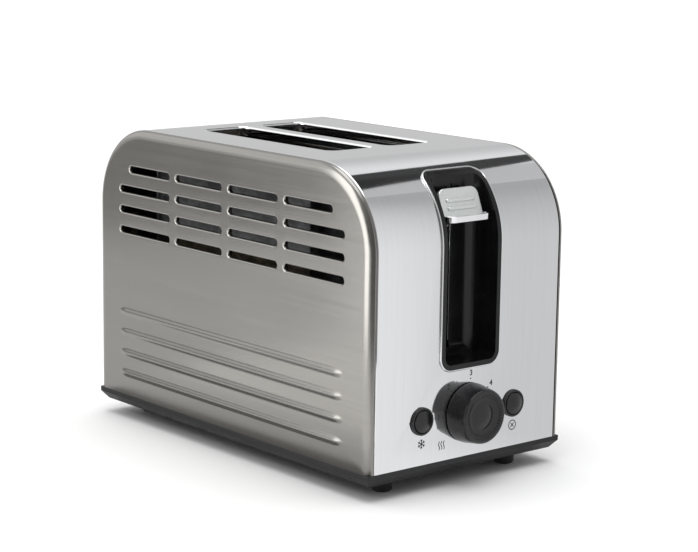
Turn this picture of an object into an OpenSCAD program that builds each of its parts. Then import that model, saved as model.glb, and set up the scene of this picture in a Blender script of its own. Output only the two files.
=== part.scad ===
/* [Body] */
// Width over the flat faces of the two side panels
body_w = 155; // [140:1:185]
// Length between the flat front and the flat back
body_l = 277; // [260:1:330]
// Height of the top above the table
body_h = 194; // [185:1:230]
// Radius of the bend from the front over the top to the back
corner_r = 50.5; // [44:0.5:54]
// Height of the lower edge of the metal casing above the table
base_h = 17; // [16:0.5:20]
// Thickness of the casing sheet
sheet_t = 0.8; // [0.6:0.1:1.0]
// Radius of the rolled edge of each side panel
edge_r = 4; // [3:0.5:5]
// Open seam between a side panel and the wrap
seam = 0.4; // [0.3:0.1:0.6]

/* [Base] */
// Height of the feet under the base
foot_h = 9; // [7:0.5:10]
// Largest radius of a foot
foot_r = 6.5; // [5.5:0.1:8]
// Distance of a foot's centre from the centre plane across
foot_x = 50; // [46:1:56]
// Distance of a foot's centre from the middle of the length
foot_y = 119; // [112:1:124]
// Height of the upright band around the base
band_h = 3; // [2:0.5:4]
// How far the base tapers in below its band
taper = 4; // [3:0.5:5]
// Distance from a foot to the screw boss beside it
boss_step = 11.5; // [10.5:0.5:14]

/* [Side vents and ribs] */
// Height of the centre of the top row of vents
vent_z = 167.6; // [160:0.1:170]
// Distance between rows of vents
vent_pitch = 13.4; // [11:0.1:14]
// Rows of vents
vent_rows = 4; // [2:1:5]
// Height of one vent opening
vent_h = 4; // [3:0.1:5]
// Distance from the middle to the near and far end of the inner vents
vent_in = [3.6, 51.6]; // [2:0.1:60]
// Distance from the middle to the near and far end of the outer vents
vent_out = [58.8, 113.8]; // [54:0.1:118]
// How much shorter the outer vents of the top row are
vent_trim = 11; // [8:0.5:16]
// Depth of the turned-in lip of a vent, from the panel's face
vent_lip = 3; // [2:0.1:4]
// Height of the centre of the top rib
rib_z = 72.8; // [66:0.1:78]
// Distance between ribs
rib_pitch = 13.6; // [11:0.1:14]
// Half the length of a rib
rib_half = 116; // [90:1:120]
// Half the width of a rib
rib_w = 3.2; // [2:0.1:4]
// How far a rib stands out
rib_out = 1; // [0.6:0.1:1.4]

/* [Bread slots] */
// Distance of a slot's centre from the centre plane
slot_x = 23; // [22:0.5:26]
// Width of a slot
slot_w = 36; // [30:0.5:38]
// Length of a slot
slot_l = 132; // [125:1:140]
// Middle of the slots behind the middle of the body
slot_y = 9; // [6:1:12]
// Depth of the turned-down lip around a slot
slot_lip = 6; // [4:0.5:7]

/* [Lever] */
// Width of the black surround of the lever channel
bezel_w = 46.4; // [44:0.2:54]
// Height of the lower edge of the surround
bezel_z0 = 71; // [69:0.1:74]
// Height of the upper edge of the surround
bezel_z1 = 186.4; // [184:0.1:187]
// Width of the surround's rim
rim_w = 3; // [2.6:0.1:4.5]
// How far the rim stands out from the wrap
rim_out = 1; // [0.6:0.1:1.5]
// Depth of the channel behind the front
channel_d = 21; // [20:0.5:23]
// Height of the lower edge of the lever's ledge at rest
ledge_z = 158; // [157:0.1:160]
// How far the lever travels down
lever_travel = 78; // [70:1:79]
// Width of the lever's ledge
ledge_w = 33.6; // [28:0.2:36]
// Radius of the rod that guides the carriage
rod_r = 3; // [2.5:0.1:3.5]
// Radial clearance between the rod and the carriage
rod_gap = 0.05; // [0.02:0.01:0.09]
// Height at which bread rests while the lever is up
rack_z = 122; // [120:1:124]

/* [Controls] */
// Height of the centre line of the knob and the buttons
control_z = 43.5; // [40:0.5:46]
// Radius of the knob at its base
knob_r = 18; // [15:0.5:20]
// How far the knob stands out from the front
knob_reach = 15; // [12:0.5:18]
// Radius of the knob's shaft
shaft_r = 3; // [2.5:0.1:3.5]
// Distance of each button from the centre plane
button_x = 37; // [34:0.5:42]
// Radius of a button cap
button_r = 6.6; // [5.5:0.1:7.5]
// How far a button can be pressed
button_travel = 2; // [1:0.1:2.2]

/* [Crumb tray and cord entry] */
// Half the width of the crumb tray
tray_half = 52; // [47:0.5:53]
// Radius of the hole in the cord gland
cord_r = 3.5; // [3:0.1:4]
// Distance of the cord gland from the centre plane
gland_x = 45; // [40:1:50]
// Height of the cord gland
gland_z = 34; // [30:1:40]

/* [Hidden] */
$fn = 64;

// Planes of the body
front = -body_l / 2;
back = body_l / 2;
side = body_w / 2;
arc_y = body_l / 2 - corner_r;
arc_z = body_h - corner_r;
roll_x = side - edge_r;
wrap_x = roll_x - seam;
far = 400;

// Base
floor_t = 2.5;
floor_z = foot_h + floor_t;
base_wall = 5;
boss_x = foot_x - boss_step;
boss_drop = 2;
boss_r = 3.8;

// Chassis
plate_t = 1.2;
plate_y0 = front + 76.5;
plate_y1 = plate_y0 + plate_t;
rear_y0 = back - 42.5;
rear_y1 = rear_y0 + plate_t;
card_x = slot_x + slot_w / 2 + 3.6;
shield_x = card_x + 12;
plate_half = shield_x + sheet_t + 2.6;
plate_top = body_h - 14;
flange_y = front + 26.5;
shelf_z = 20;
shelf_top = shelf_z + plate_t;
crown_z = body_h - 10;
crown_lap = 7;
rack_slot_half = 3;
post_half = 4;

// Carriage and rod
rod_y = front + 41.5;
mount_y0 = rod_y + 7;
mount_y1 = mount_y0 + 2;
rack_bar_h = 8;
rack_half = 8;
low_tab_z = rack_z - 3;
stem_y = rod_y - 11;
stem_z0 = ledge_z + 2.5;
stem_z1 = ledge_z + 10;
stem_half = 1.5;
spring_x = 14;
spring_r = 3.2;
spring_wire = 0.5;
spring_turns = 11;

// Magnet
magnet_x = -22;
magnet_y = rod_y - 4;
magnet_half = 9;
magnet_top = rack_z - lever_travel;
armature_gap = 0.5;

// Heaters and bread guards
card_t = 0.8;
card_z0 = 44;
card_z1 = body_h - 24;
ribbon_t = 0.4;
ribbon_h = 1.4;
ribbon_rows = 9;
guard_step = slot_w / 2 - 1;
guard_inner_x = slot_x - guard_step;
guard_outer_x = slot_x + guard_step;
guard_z0 = 48;
guard_z1 = body_h - 22;
guard_wires = 9;
guard_rail_r = 1.2;
guard_wire_r = 0.8;
pivot_gap = 0.06;
shield_z1 = plate_top;
shield_z0 = shield_z1 - 46;

// Controls
board_y0 = front + 20.5;
board_t = 1.6;
board_y1 = board_y0 + board_t;
board_half = 52;
board_z0 = 22;
board_z1 = 66;
pot_r = 8.5;
pot_d = 8;
ring_r = 8.4;
sleeve_r = 7.6;
sleeve_bore = 7;
sleeve_d = 5;

// Crumb tray
tray_z = floor_z + 0.5;
tray_t = 0.8;
tray_rim_z = 16.4;
tray_y0 = plate_y1 + 4;
pull_half = 24;

// A shape drawn as [y, z], carried along X from x0 to x1
module along_x(x0, x1) {
    translate([x0, 0, 0]) rotate([90, 0, 90]) linear_extrude(x1 - x0) children();
}

// A shape drawn as [x, z], carried along Y from y0 to y1
module along_y(y0, y1) {
    translate([0, y1, 0]) rotate([90, 0, 0]) linear_extrude(y1 - y0) children();
}

// A shape drawn as [x, y], carried up from z0 to z1
module along_z(z0, z1) {
    translate([0, 0, z0]) linear_extrude(z1 - z0) children();
}

// A box between two corners
module box(a, b) {
    translate(a) cube(b - a);
}

// A round bar along Y
module bar_y(x, z, y0, y1, r) {
    translate([x, y0, z]) rotate([-90, 0, 0]) cylinder(h = y1 - y0, r = r);
}

// A turned shape on an axis along Y, drawn as [radius, distance out towards the front]
module turned_y(x, y, z) {
    translate([x, y, z]) rotate([90, 0, 0]) rotate_extrude() children();
}

// A rectangle with round corners, about its centre
module round_rect(w, h, r) {
    square([w - 2 * r, h], center = true);
    square([w, h - 2 * r], center = true);
    for (x = [-1, 1], y = [-1, 1])
        translate([x * (w / 2 - r), y * (h / 2 - r)]) circle(r);
}

// A rectangle with round corners, between two corners of its own
module round_box(a, b, r) {
    translate((a + b) / 2) round_rect(b.x - a.x, b.y - a.y, r);
}

// The front, top and back outline, moved in by i and cut off at height b
module body_outline(i, b) {
    r = corner_r - i;
    translate([-body_l / 2 + i, b]) square([body_l - 2 * i, arc_z - b]);
    translate([-arc_y, b]) square([2 * arc_y, body_h - i - b]);
    for (s = [-1, 1]) translate([s * arc_y, arc_z]) circle(r);
}

// The band between two insets of the body outline, open at the bottom
module outline_band(outer, inner) {
    difference() {
        body_outline(outer, base_h);
        body_outline(inner, base_h - 1);
    }
}

// The lever opening drawn as [x, z], made larger by g
module lever_opening(g, r) {
    half = bezel_w / 2 - rim_w + g;
    round_box([-half, bezel_z0 + rim_w - g], [half, bezel_z1 - 3 + g], r);
}

module outer_wrap() {
    slot_z = body_h - slot_lip;
    color([0.82, 0.83, 0.85]) difference() {
        union() {
            along_x(-wrap_x, wrap_x) difference() {
                outline_band(0, sheet_t);
                translate([arc_y, 0]) square([corner_r + 1, arc_z]);
            }
            for (s = [-1, 1])
                along_z(slot_z, body_h - sheet_t / 2)
                    translate([s * slot_x, slot_y])
                        round_rect(slot_w + 2 * sheet_t, slot_l + 2 * sheet_t, 6 + sheet_t);
        }
        for (s = [-1, 1])
            along_z(slot_z - 1, body_h + 1)
                translate([s * slot_x, slot_y]) round_rect(slot_w, slot_l, 6);
        along_y(front - 1, front + corner_r) lever_opening(2.2, 7);
        bar_y(0, control_z, front - 1, front + 2, shaft_r + 2);
        for (s = [-1, 1]) bar_y(s * button_x, control_z, front - 1, front + 2, sleeve_r + 0.05);
    }
}

module rear_panel() {
    color([0.82, 0.83, 0.85]) difference() {
        box([-wrap_x, back - sheet_t, base_h], [wrap_x, back, arc_z - seam]);
        bar_y(gland_x, gland_z, back - 2, back + 1, cord_r + 3.05);
    }
}

// The section of a rolled panel edge
module rolled_section() {
    intersection() {
        difference() {
            circle(edge_r);
            circle(edge_r - sheet_t);
        }
        square(edge_r + 1);
    }
}

// The far ends of the outer vents of a row: the top row is shorter
function vent_end(row) = vent_out[1] - (row == 0 ? vent_trim : 0);

// Every vent of a panel as [y, z] shapes, made larger by g
module vents(g) {
    for (row = [0 : vent_rows - 1], s = [-1, 1], v = [vent_in, [vent_out[0], vent_end(row)]]) {
        z = vent_z - row * vent_pitch;
        w = v[1] - v[0] + 2 * g;
        h = vent_h + 2 * g;
        translate([s * (v[0] + v[1]) / 2, z]) round_rect(w, h, h / 2 - 0.01);
    }
}

// One pressed rib, with round ends
module rib(z) {
    r = (rib_w * rib_w + rib_out * rib_out) / (2 * rib_out);
    axis_x = side + rib_out - r;
    end_y = rib_half - rib_w;
    intersection() {
        union() {
            bar_y(axis_x, z, -end_y, end_y, r);
            for (s = [-1, 1]) translate([axis_x, s * end_y, z]) sphere(r);
        }
        box([side - sheet_t / 2, -rib_half - 1, z - r], [side + 2 * rib_out, rib_half + 1, z + r]);
    }
}

// The right-hand panel: a flat plate with a rolled edge, vents and ribs
module side_panel() {
    difference() {
        union() {
            along_x(side - sheet_t, side) body_outline(edge_r, base_h);
            for (s = [0, 1]) mirror([0, s, 0]) {
                along_z(base_h, arc_z) translate([roll_x, body_l / 2 - edge_r]) rolled_section();
                translate([roll_x, arc_y, arc_z]) rotate([0, 90, 0]) rotate([0, 0, 90])
                    rotate_extrude(angle = 90) translate([corner_r - edge_r, 0]) rolled_section();
            }
            along_y(-arc_y, arc_y) translate([roll_x, body_h - edge_r]) rolled_section();
            along_x(side - vent_lip, side - sheet_t / 2) vents(sheet_t);
            for (n = [0 : 3]) rib(rib_z - n * rib_pitch);
        }
        along_x(side - vent_lip - 1, side + 1) vents(0);
    }
}

module right_side_panel() {
    color([0.62, 0.61, 0.59]) side_panel();
}

module left_side_panel() {
    color([0.62, 0.61, 0.59]) mirror([1, 0, 0]) side_panel();
}

// The right-hand end frame: carries the wrap's edge and backs the side panel
module end_frame() {
    x0 = side - 13.5;
    step = edge_r + 0.2;
    along_x(x0, roll_x) outline_band(sheet_t, step);
    along_x(x0, side - sheet_t) outline_band(step, step + 2.8);
}

module right_end_frame() {
    color([0.08, 0.08, 0.09]) end_frame();
}

module left_end_frame() {
    color([0.08, 0.08, 0.09]) mirror([1, 0, 0]) end_frame();
}

// The side view of the base over a length l: a band on top of a taper
module base_side(l) {
    h = l / 2;
    polygon([
        [-h + taper, foot_h], [h - taper, foot_h], [h, base_h - band_h],
        [h, base_h], [-h, base_h], [-h, base_h - band_h]
    ]);
}

module base_tray() {
    post_x = tray_half + 2;
    color([0.09, 0.09, 0.1]) difference() {
        union() {
            difference() {
                intersection() {
                    along_x(-side, side) base_side(body_l);
                    along_y(front, back) base_side(body_w);
                }
                box([-side + base_wall, front + base_wall, floor_z],
                    [side - base_wall, back - base_wall, base_h + 1]);
                box([-tray_half - 1, back - base_wall - 1, floor_z],
                    [tray_half + 1, back + 1, base_h + 1]);
            }
            for (s = [-1, 1]) {
                x0 = s > 0 ? post_x : -plate_half;
                x1 = s > 0 ? plate_half : -post_x;
                for (y = [plate_y0, rear_y0])
                    box([x0, y - post_half, floor_z - 1], [x1, y + plate_t + post_half, base_h]);
                box([s * 46 - 3, board_y0 - 2, floor_z - 1], [s * 46 + 3, board_y1 + 2, board_z0]);
                box([s * 40 - 3, flange_y, floor_z - 1], [s * 40 + 3, flange_y + 8, shelf_z]);
                for (t = [-1, 1])
                    translate([s * boss_x, t * foot_y, foot_h - boss_drop])
                        cylinder(h = boss_drop + 1, r = boss_r);
            }
        }
        for (s = [-1, 1], t = [-1, 1]) {
            translate([s * boss_x, t * foot_y, foot_h - boss_drop - 1])
                cylinder(h = boss_drop + 1.5, r = 2.9);
            translate([s * boss_x, t * foot_y, foot_h])
                cylinder(h = floor_t + 1, r = 1.5);
            translate([s * foot_x, t * foot_y, foot_h - 1])
                cylinder(h = floor_t + 2, r = 2.5);
        }
    }
}

module feet() {
    color([0.06, 0.06, 0.06]) for (s = [-1, 1], t = [-1, 1])
        translate([s * foot_x, t * foot_y, 0]) rotate_extrude() polygon([
            [0, 0], [foot_r - 1.5, 0], [foot_r - 0.4, 1.1], [foot_r, foot_h],
            [2.4, foot_h], [2.4, floor_z - 0.2], [0, floor_z - 0.2]
        ]);
}

module base_screws() {
    head_z = foot_h - boss_drop + 0.8;
    color([0.5, 0.5, 0.52]) for (s = [-1, 1], t = [-1, 1])
        translate([s * boss_x, t * foot_y, head_z]) difference() {
            union() {
                cylinder(h = foot_h + 0.5 - head_z, r = 2.7);
                cylinder(h = floor_z - 0.2 - head_z, r = 1.45);
            }
            for (a = [0, 90]) rotate([0, 0, a]) box([-1.6, -0.3, -1], [1.6, 0.3, 0.8]);
        }
}

// The space of the lever channel, made larger by g
module channel_space(g) {
    half = bezel_w / 2 - rim_w + g;
    z0 = bezel_z0 + rim_w - g;
    z1 = bezel_z1 - 3 + g;
    y0 = front - 30;
    y1 = front + channel_d + g;
    r = 8.5 + g;
    intersection() {
        along_y(y0 + 10, y1 + 1) lever_opening(g, 5 + g);
        along_z(z0 - 1, z1 + 1) round_box([-half, y0], [half, y1], r);
        along_x(-half - 1, half + 1) {
            round_box([y0, z0], [y1, z1], r);
            translate([y0, z0 + 2 * r]) square([y1 - y0, z1 - z0 - 2 * r]);
        }
    }
}

module lever_bezel() {
    wall = 1.6;
    color([0.07, 0.07, 0.08]) difference() {
        union() {
            intersection() {
                channel_space(wall);
                along_x(-bezel_w, bezel_w) body_outline(-rim_out, base_h);
            }
            intersection() {
                along_x(-bezel_w / 2, bezel_w / 2) outline_band(-rim_out, 0);
                along_y(front - 5, front + corner_r) lever_opening(rim_w, 8);
            }
        }
        channel_space(0);
        box([-2.3, front + channel_d / 2, ledge_z - lever_travel - 1],
            [2.3, front + channel_d + wall + 1, ledge_z + 20]);
    }
}

// The pivot holes of the four bread guards, on a chassis plate
module guard_pivots(y) {
    for (s = [-1, 1], x = [guard_inner_x, guard_outer_x])
        bar_y(s * x, guard_z0, y - 1, y + plate_t + 1, guard_rail_r + pivot_gap);
}

// The tall slots in a chassis plate that the bread racks run in
module rack_slots(y) {
    for (s = [-1, 1])
        box([s * slot_x - rack_slot_half, y - 1, rack_z - rack_bar_h - lever_travel - 2],
            [s * slot_x + rack_slot_half, y + plate_t + 1, rack_z + 3]);
}

module chassis_front() {
    crown_half = 20;
    color([0.72, 0.73, 0.74]) difference() {
        union() {
            box([-plate_half, plate_y0, base_h], [plate_half, plate_y1, plate_top]);
            box([-plate_half, flange_y, shelf_z], [plate_half, plate_y1, shelf_top]);
            box([-crown_half, plate_y0, plate_top - 1], [crown_half, plate_y1, crown_z + plate_t]);
            box([-crown_half, rod_y - crown_lap, crown_z],
                [crown_half, plate_y1, crown_z + plate_t]);
        }
        rack_slots(plate_y0);
        guard_pivots(plate_y0);
        translate([0, rod_y, 0]) cylinder(h = body_h, r = rod_r + rod_gap);
    }
}

module chassis_rear() {
    color([0.72, 0.73, 0.74]) difference() {
        box([-plate_half, rear_y0, base_h], [plate_half, rear_y1, plate_top]);
        rack_slots(rear_y0);
        guard_pivots(rear_y0);
    }
}

module right_heat_shield() {
    color([0.6, 0.61, 0.62])
        box([shield_x, plate_y1, shield_z0], [shield_x + sheet_t, rear_y0, shield_z1]);
}

module left_heat_shield() {
    color([0.6, 0.61, 0.62])
        box([-shield_x - sheet_t, plate_y1, shield_z0], [-shield_x, rear_y0, shield_z1]);
}

// A mica card standing between the chassis plates, from x0
module heater_card(x0) {
    color([0.66, 0.56, 0.4]) box([x0, plate_y1, card_z0], [x0 + card_t, rear_y0, card_z1]);
}

module left_heater_card() {
    heater_card(-card_x - card_t);
}

module centre_heater_card() {
    heater_card(-card_t / 2);
}

module right_heater_card() {
    heater_card(card_x);
}

// One heating ribbon: level runs joined at alternate ends, from x0
module heater_ribbon(x0) {
    y0 = plate_y1 + 8;
    y1 = rear_y0 - 8;
    pitch = (card_z1 - card_z0 - 20) / (ribbon_rows - 1);
    z0 = card_z0 + 10;
    color([0.45, 0.42, 0.4]) {
        for (n = [0 : ribbon_rows - 1])
            box([x0, y0, z0 + n * pitch], [x0 + ribbon_t, y1, z0 + n * pitch + ribbon_h]);
        for (n = [0 : ribbon_rows - 2]) {
            y = n % 2 == 0 ? y0 : y1 - ribbon_h;
            box([x0, y, z0 + n * pitch], [x0 + ribbon_t, y + ribbon_h, z0 + (n + 1) * pitch + 0.5]);
        }
    }
}

module left_heater_wire() {
    heater_ribbon(-card_x);
}

module centre_heater_wire() {
    heater_ribbon(card_t / 2);
    heater_ribbon(-card_t / 2 - ribbon_t);
}

module right_heater_wire() {
    heater_ribbon(card_x - ribbon_t);
}

// A bread guard of wires on a rail that turns in the chassis plates
module guard(x) {
    y0 = plate_y1 + 7;
    y1 = rear_y0 - 7;
    pitch = (y1 - y0 - 8) / (guard_wires - 1);
    color([0.7, 0.71, 0.72]) {
        bar_y(x, guard_z0, plate_y0 + 0.3, rear_y1 - 0.3, guard_rail_r);
        bar_y(x, guard_z1, y0, y1, guard_rail_r);
        for (n = [0 : guard_wires - 1])
            translate([x, y0 + 4 + n * pitch, guard_z0])
                cylinder(h = guard_z1 - guard_z0, r = guard_wire_r);
    }
}

module left_outer_guard() {
    guard(-guard_outer_x);
}

module left_inner_guard() {
    guard(-guard_inner_x);
}

module right_inner_guard() {
    guard(guard_inner_x);
}

module right_outer_guard() {
    guard(guard_outer_x);
}

module guide_rod() {
    color([0.75, 0.76, 0.77]) translate([0, rod_y, shelf_z])
        cylinder(h = crown_z + plate_t - shelf_z, r = rod_r);
}

// Points of a square ring of wire at step k of the spring
SPRING_STEPS = 14;
function spring_ring(k) =
    let (a = 360 * k / SPRING_STEPS, h = crown_z - rack_z - 2 * spring_wire)
    let (z = rack_z + spring_wire + h * k / (SPRING_STEPS * spring_turns))
    [for (q = [45, 135, 225, 315])
        let (d = spring_r + spring_wire * sqrt(2) * cos(q))
        [d * cos(a), d * sin(a), z + spring_wire * sqrt(2) * sin(q)]];

module lift_spring() {
    steps = SPRING_STEPS * spring_turns;
    points = [for (k = [0 : steps]) each spring_ring(k)];
    walls = [for (k = [0 : steps - 1], c = [0 : 3])
        let (a = 4 * k + c, b = 4 * k + (c + 1) % 4)
        each [[a, a + 4, b], [b, a + 4, b + 4]]];
    last = 4 * steps;
    ends = [[0, 1, 2], [0, 2, 3], [last, last + 2, last + 1], [last, last + 3, last + 2]];
    color([0.6, 0.61, 0.63]) translate([spring_x, rod_y, 0])
        polyhedron(points = points, faces = concat(walls, ends));
}

module carriage_bracket() {
    high_tab_z = stem_z1 - 4;
    color([0.7, 0.71, 0.72]) difference() {
        union() {
            box([-30, mount_y0, rack_z - rack_bar_h - 2], [30, mount_y1, stem_z1]);
            box([-9, rod_y - 8, low_tab_z], [spring_x + 4.5, mount_y1, rack_z]);
            box([-9, stem_y, high_tab_z], [9, mount_y1, high_tab_z + 3]);
        }
        translate([0, rod_y, low_tab_z - 1]) cylinder(h = stem_z1, r = rod_r + rod_gap);
        for (x = [-19, 19])
            box([x - 5, mount_y0 - 1, rack_z + 10], [x + 5, mount_y1 + 1, stem_z1 - 9]);
    }
}

// The ledge of the lever seen from above, moved in by i and cut off at y
module ledge_outline(i, y) {
    half = ledge_w / 2 - i;
    intersection() {
        round_box([-half, front + 1 + i], [half, front + channel_d - i], 5.5 - i);
        translate([-half - 1, front]) square([ledge_w + 2, y - front]);
    }
}

module lever_paddle() {
    plate_half_w = ledge_w / 2 - 1.2;
    plate_z1 = ledge_z + 19.5;
    lean = 6.5;
    foot_y0 = front + 8;
    shelf_z1 = ledge_z + 3.4;
    color([0.72, 0.73, 0.74]) {
        intersection() {
            along_x(-plate_half_w, plate_half_w) polygon([
                [foot_y0, ledge_z], [foot_y0, shelf_z1], [foot_y0 + lean, plate_z1],
                [foot_y0 + lean + 2.6, plate_z1], [foot_y0 + 3, shelf_z1], [foot_y0 + 3, ledge_z]
            ]);
            along_y(front, front + channel_d)
                round_box([-plate_half_w, ledge_z - 20], [plate_half_w, plate_z1], 5);
        }
        for (n = [7.2, 11.7]) {
            y = foot_y0 + lean * (n - 3.4) / (plate_z1 - shelf_z1);
            along_y(y - 0.7, y + 1) translate([0, ledge_z + n]) round_rect(22, 1.2, 0.55);
        }
        along_z(ledge_z + 0.4, shelf_z1) ledge_outline(1.1, foot_y0 + 2);
        box([-stem_half, foot_y0 + 1, stem_z0], [stem_half, stem_y, stem_z1]);
    }
}

module lever_strip() {
    color([0.9, 0.9, 0.92]) along_z(ledge_z, ledge_z + 3.8) difference() {
        ledge_outline(0, front + 9);
        ledge_outline(1.1, front + 10);
    }
}

module armature_plate() {
    z = magnet_top + lever_travel + armature_gap;
    color([0.5, 0.5, 0.52])
        box([magnet_x - magnet_half, magnet_y - magnet_half, z],
            [magnet_x + magnet_half, mount_y0, z + 2.5]);
}

// A bread rack: a bar on edge that carries six cross plates
module bread_rack(x) {
    plates = 6;
    y0 = slot_y - slot_l / 2 + 12;
    pitch = (slot_l - 24) / (plates - 1);
    color([0.72, 0.73, 0.74]) {
        box([x - 0.8, mount_y1, rack_z - rack_bar_h], [x + 0.8, rear_y1 + 2, rack_z - 0.6]);
        for (n = [0 : plates - 1])
            box([x - rack_half, y0 + n * pitch - 2, rack_z - 1.4],
                [x + rack_half, y0 + n * pitch + 2, rack_z]);
    }
}

module left_bread_rack() {
    bread_rack(-slot_x);
}

module right_bread_rack() {
    bread_rack(slot_x);
}

module magnet_core() {
    x0 = magnet_x - magnet_half;
    x1 = magnet_x + magnet_half;
    color([0.4, 0.4, 0.42]) {
        box([x0, magnet_y - 6, shelf_top], [x1, magnet_y + 6, shelf_top + 2]);
        box([x0, magnet_y - 6, shelf_top], [x0 + 1.2, magnet_y + 6, magnet_top]);
        box([x1 - 1.2, magnet_y - 6, shelf_top], [x1, magnet_y + 6, magnet_top]);
        translate([magnet_x, magnet_y, shelf_top]) cylinder(h = magnet_top - shelf_top, r = 3.2);
    }
}

module magnet_coil() {
    color([0.65, 0.3, 0.12]) translate([magnet_x, magnet_y, shelf_top + 2]) difference() {
        cylinder(h = magnet_top - shelf_top - 4, r = 7.4);
        translate([0, 0, -1]) cylinder(h = magnet_top, r = 3.3);
    }
}

module control_board() {
    color([0.12, 0.35, 0.18]) difference() {
        box([-board_half, board_y0, board_z0], [board_half, board_y1, board_z1]);
        for (s = [-1, 1]) bar_y(s * 46, board_z1 - 5, board_y0 - 1, board_y1 + 1, 1.6);
    }
}

module board_parts() {
    color([0.15, 0.15, 0.17]) {
        box([-9, board_y1, 48], [9, board_y1 + 3.2, 55]);
        box([-46, board_y1, 26], [-32, board_y1 + 4, 38]);
        for (x = [18, 25, 32]) bar_y(x, 52, board_y1, board_y1 + 3.8, 2.8);
        for (x = [16, 22, 28, 34]) box([x, board_y1, 28], [x + 2.2, board_y1 + 2.2, 36]);
    }
}

module board_screws() {
    color([0.6, 0.6, 0.62]) for (s = [-1, 1]) {
        bar_y(s * 46, board_z1 - 5, board_y0 - 1.6, board_y0, 2.8);
        bar_y(s * 46, board_z1 - 5, board_y0, board_y1 + 2, 1.5);
    }
}

module potentiometer() {
    color([0.2, 0.2, 0.22]) difference() {
        union() {
            bar_y(0, control_z, board_y0 - pot_d, board_y0, pot_r);
            bar_y(0, control_z, board_y0 - pot_d - 5, board_y0 - pot_d + 1, 4.6);
        }
        bar_y(0, control_z, board_y0 - pot_d - 6, board_y0 - 2, shaft_r + 0.05);
    }
}

module dial_shaft() {
    color([0.7, 0.7, 0.72]) bar_y(0, control_z, front - knob_reach + 4, board_y0 - 2.5, shaft_r);
}

module browning_knob() {
    tip = knob_reach;
    face_r = knob_r - 1.6;
    color([0.08, 0.08, 0.09]) difference() {
        turned_y(0, front, control_z) difference() {
            union() {
                polygon([
                    [0, 0.6], [knob_r, 0.6], [knob_r, 3], [face_r + 0.3, tip - 1.5],
                    [face_r - 1.5, tip], [0, tip]
                ]);
                translate([face_r - 1.2, tip - 1.5]) circle(1.5);
            }
            translate([-far, -far]) square([far, 2 * far]);
            translate([8.6, tip - 0.9]) square([face_r - 10.4, 2]);
            translate([6.6, -1]) square([knob_r - 9, tip - 4]);
        }
        bar_y(0, control_z, front - tip + 3.9, front + 1, shaft_r + 0.05);
    }
}

module tact_switches() {
    color([0.25, 0.25, 0.27]) for (s = [-1, 1])
        translate([s * button_x, board_y0, control_z]) box([-3, -5, -3], [3, 0, 3]);
}

module button_rings() {
    color([0.05, 0.05, 0.05]) for (s = [-1, 1]) difference() {
        union() {
            bar_y(s * button_x, control_z, front - 1.4, front, ring_r);
            bar_y(s * button_x, control_z, front - 1, front + sleeve_d, sleeve_r);
        }
        bar_y(s * button_x, control_z, front - 2, front + sleeve_d + 1, sleeve_bore);
    }
}

// A push button: a domed cap, a collar behind its ring and a stem to its switch
module button(x) {
    dome_r = 17;
    dome_drop = dome_r - sqrt(dome_r * dome_r - button_r * button_r);
    cap = 1.8;
    collar_y = front + sleeve_d + 0.4;
    switch_y = board_y0 - 5;
    color([0.09, 0.09, 0.1]) {
        intersection() {
            turned_y(x, front, control_z) intersection() {
                translate([0, cap + dome_drop - dome_r]) circle(dome_r);
                translate([0, -sleeve_d - 1]) square([button_r, sleeve_d + 1 + cap + dome_drop]);
            }
            bar_y(x, control_z, front - 6, collar_y + 0.5, button_r + 1);
        }
        bar_y(x, control_z, collar_y, collar_y + 1.5, sleeve_r);
        bar_y(x, control_z, collar_y, switch_y - button_travel - 0.4, 2);
    }
}

module defrost_button() {
    button(-button_x);
}

module cancel_button() {
    button(button_x);
}

module contact_block() {
    color([0.85, 0.84, 0.8]) difference() {
        box([22, rod_y - 13, shelf_top], [38, rod_y + 1, shelf_top + 14]);
        for (x = [26, 34])
            box([x - 2, rod_y - 14, shelf_top + 9], [x + 2, rod_y + 2, shelf_top + 15]);
    }
}

module contact_leaves() {
    color([0.8, 0.6, 0.35]) for (x = [26, 34])
        box([x - 1.5, rod_y - 17, shelf_top + 9], [x + 1.5, rod_y + 5, shelf_top + 9.5]);
}

module cord_gland() {
    color([0.07, 0.07, 0.07]) difference() {
        union() {
            bar_y(gland_x, gland_z, back, back + 3, cord_r + 5);
            bar_y(gland_x, gland_z, back - 5, back + 3, cord_r + 3);
            bar_y(gland_x, gland_z, back - 5, back - sheet_t - 0.3, cord_r + 4.4);
        }
        bar_y(gland_x, gland_z, back - 6, back + 4, cord_r);
    }
}

module crumb_tray() {
    rim_t = 0.8;
    color([0.55, 0.56, 0.57]) {
        difference() {
            box([-tray_half, tray_y0, tray_z], [tray_half, back - 2.5, tray_rim_z]);
            box([-tray_half + rim_t, tray_y0 + rim_t, tray_z + tray_t],
                [tray_half - rim_t, back - 2.5 - rim_t, tray_rim_z + 1]);
        }
        box([-tray_half, back - 2.6, tray_z], [tray_half, back, tray_rim_z]);
        intersection() {
            along_z(tray_z, tray_z + 3)
                round_box([-pull_half, back - 10], [pull_half, back + knob_reach], 6);
            box([-far, back - 1, 0], [far, far, far]);
        }
    }
}

outer_wrap();
rear_panel();
left_side_panel();
right_side_panel();
left_end_frame();
right_end_frame();
base_tray();
feet();
base_screws();
lever_bezel();
chassis_front();
chassis_rear();
left_heat_shield();
right_heat_shield();
left_heater_card();
centre_heater_card();
right_heater_card();
left_heater_wire();
centre_heater_wire();
right_heater_wire();
left_outer_guard();
left_inner_guard();
right_inner_guard();
right_outer_guard();
guide_rod();
lift_spring();
carriage_bracket();
lever_paddle();
lever_strip();
armature_plate();
left_bread_rack();
right_bread_rack();
magnet_coil();
magnet_core();
control_board();
board_parts();
board_screws();
potentiometer();
dial_shaft();
browning_knob();
tact_switches();
button_rings();
defrost_button();
cancel_button();
contact_block();
contact_leaves();
cord_gland();
crumb_tray();
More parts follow.
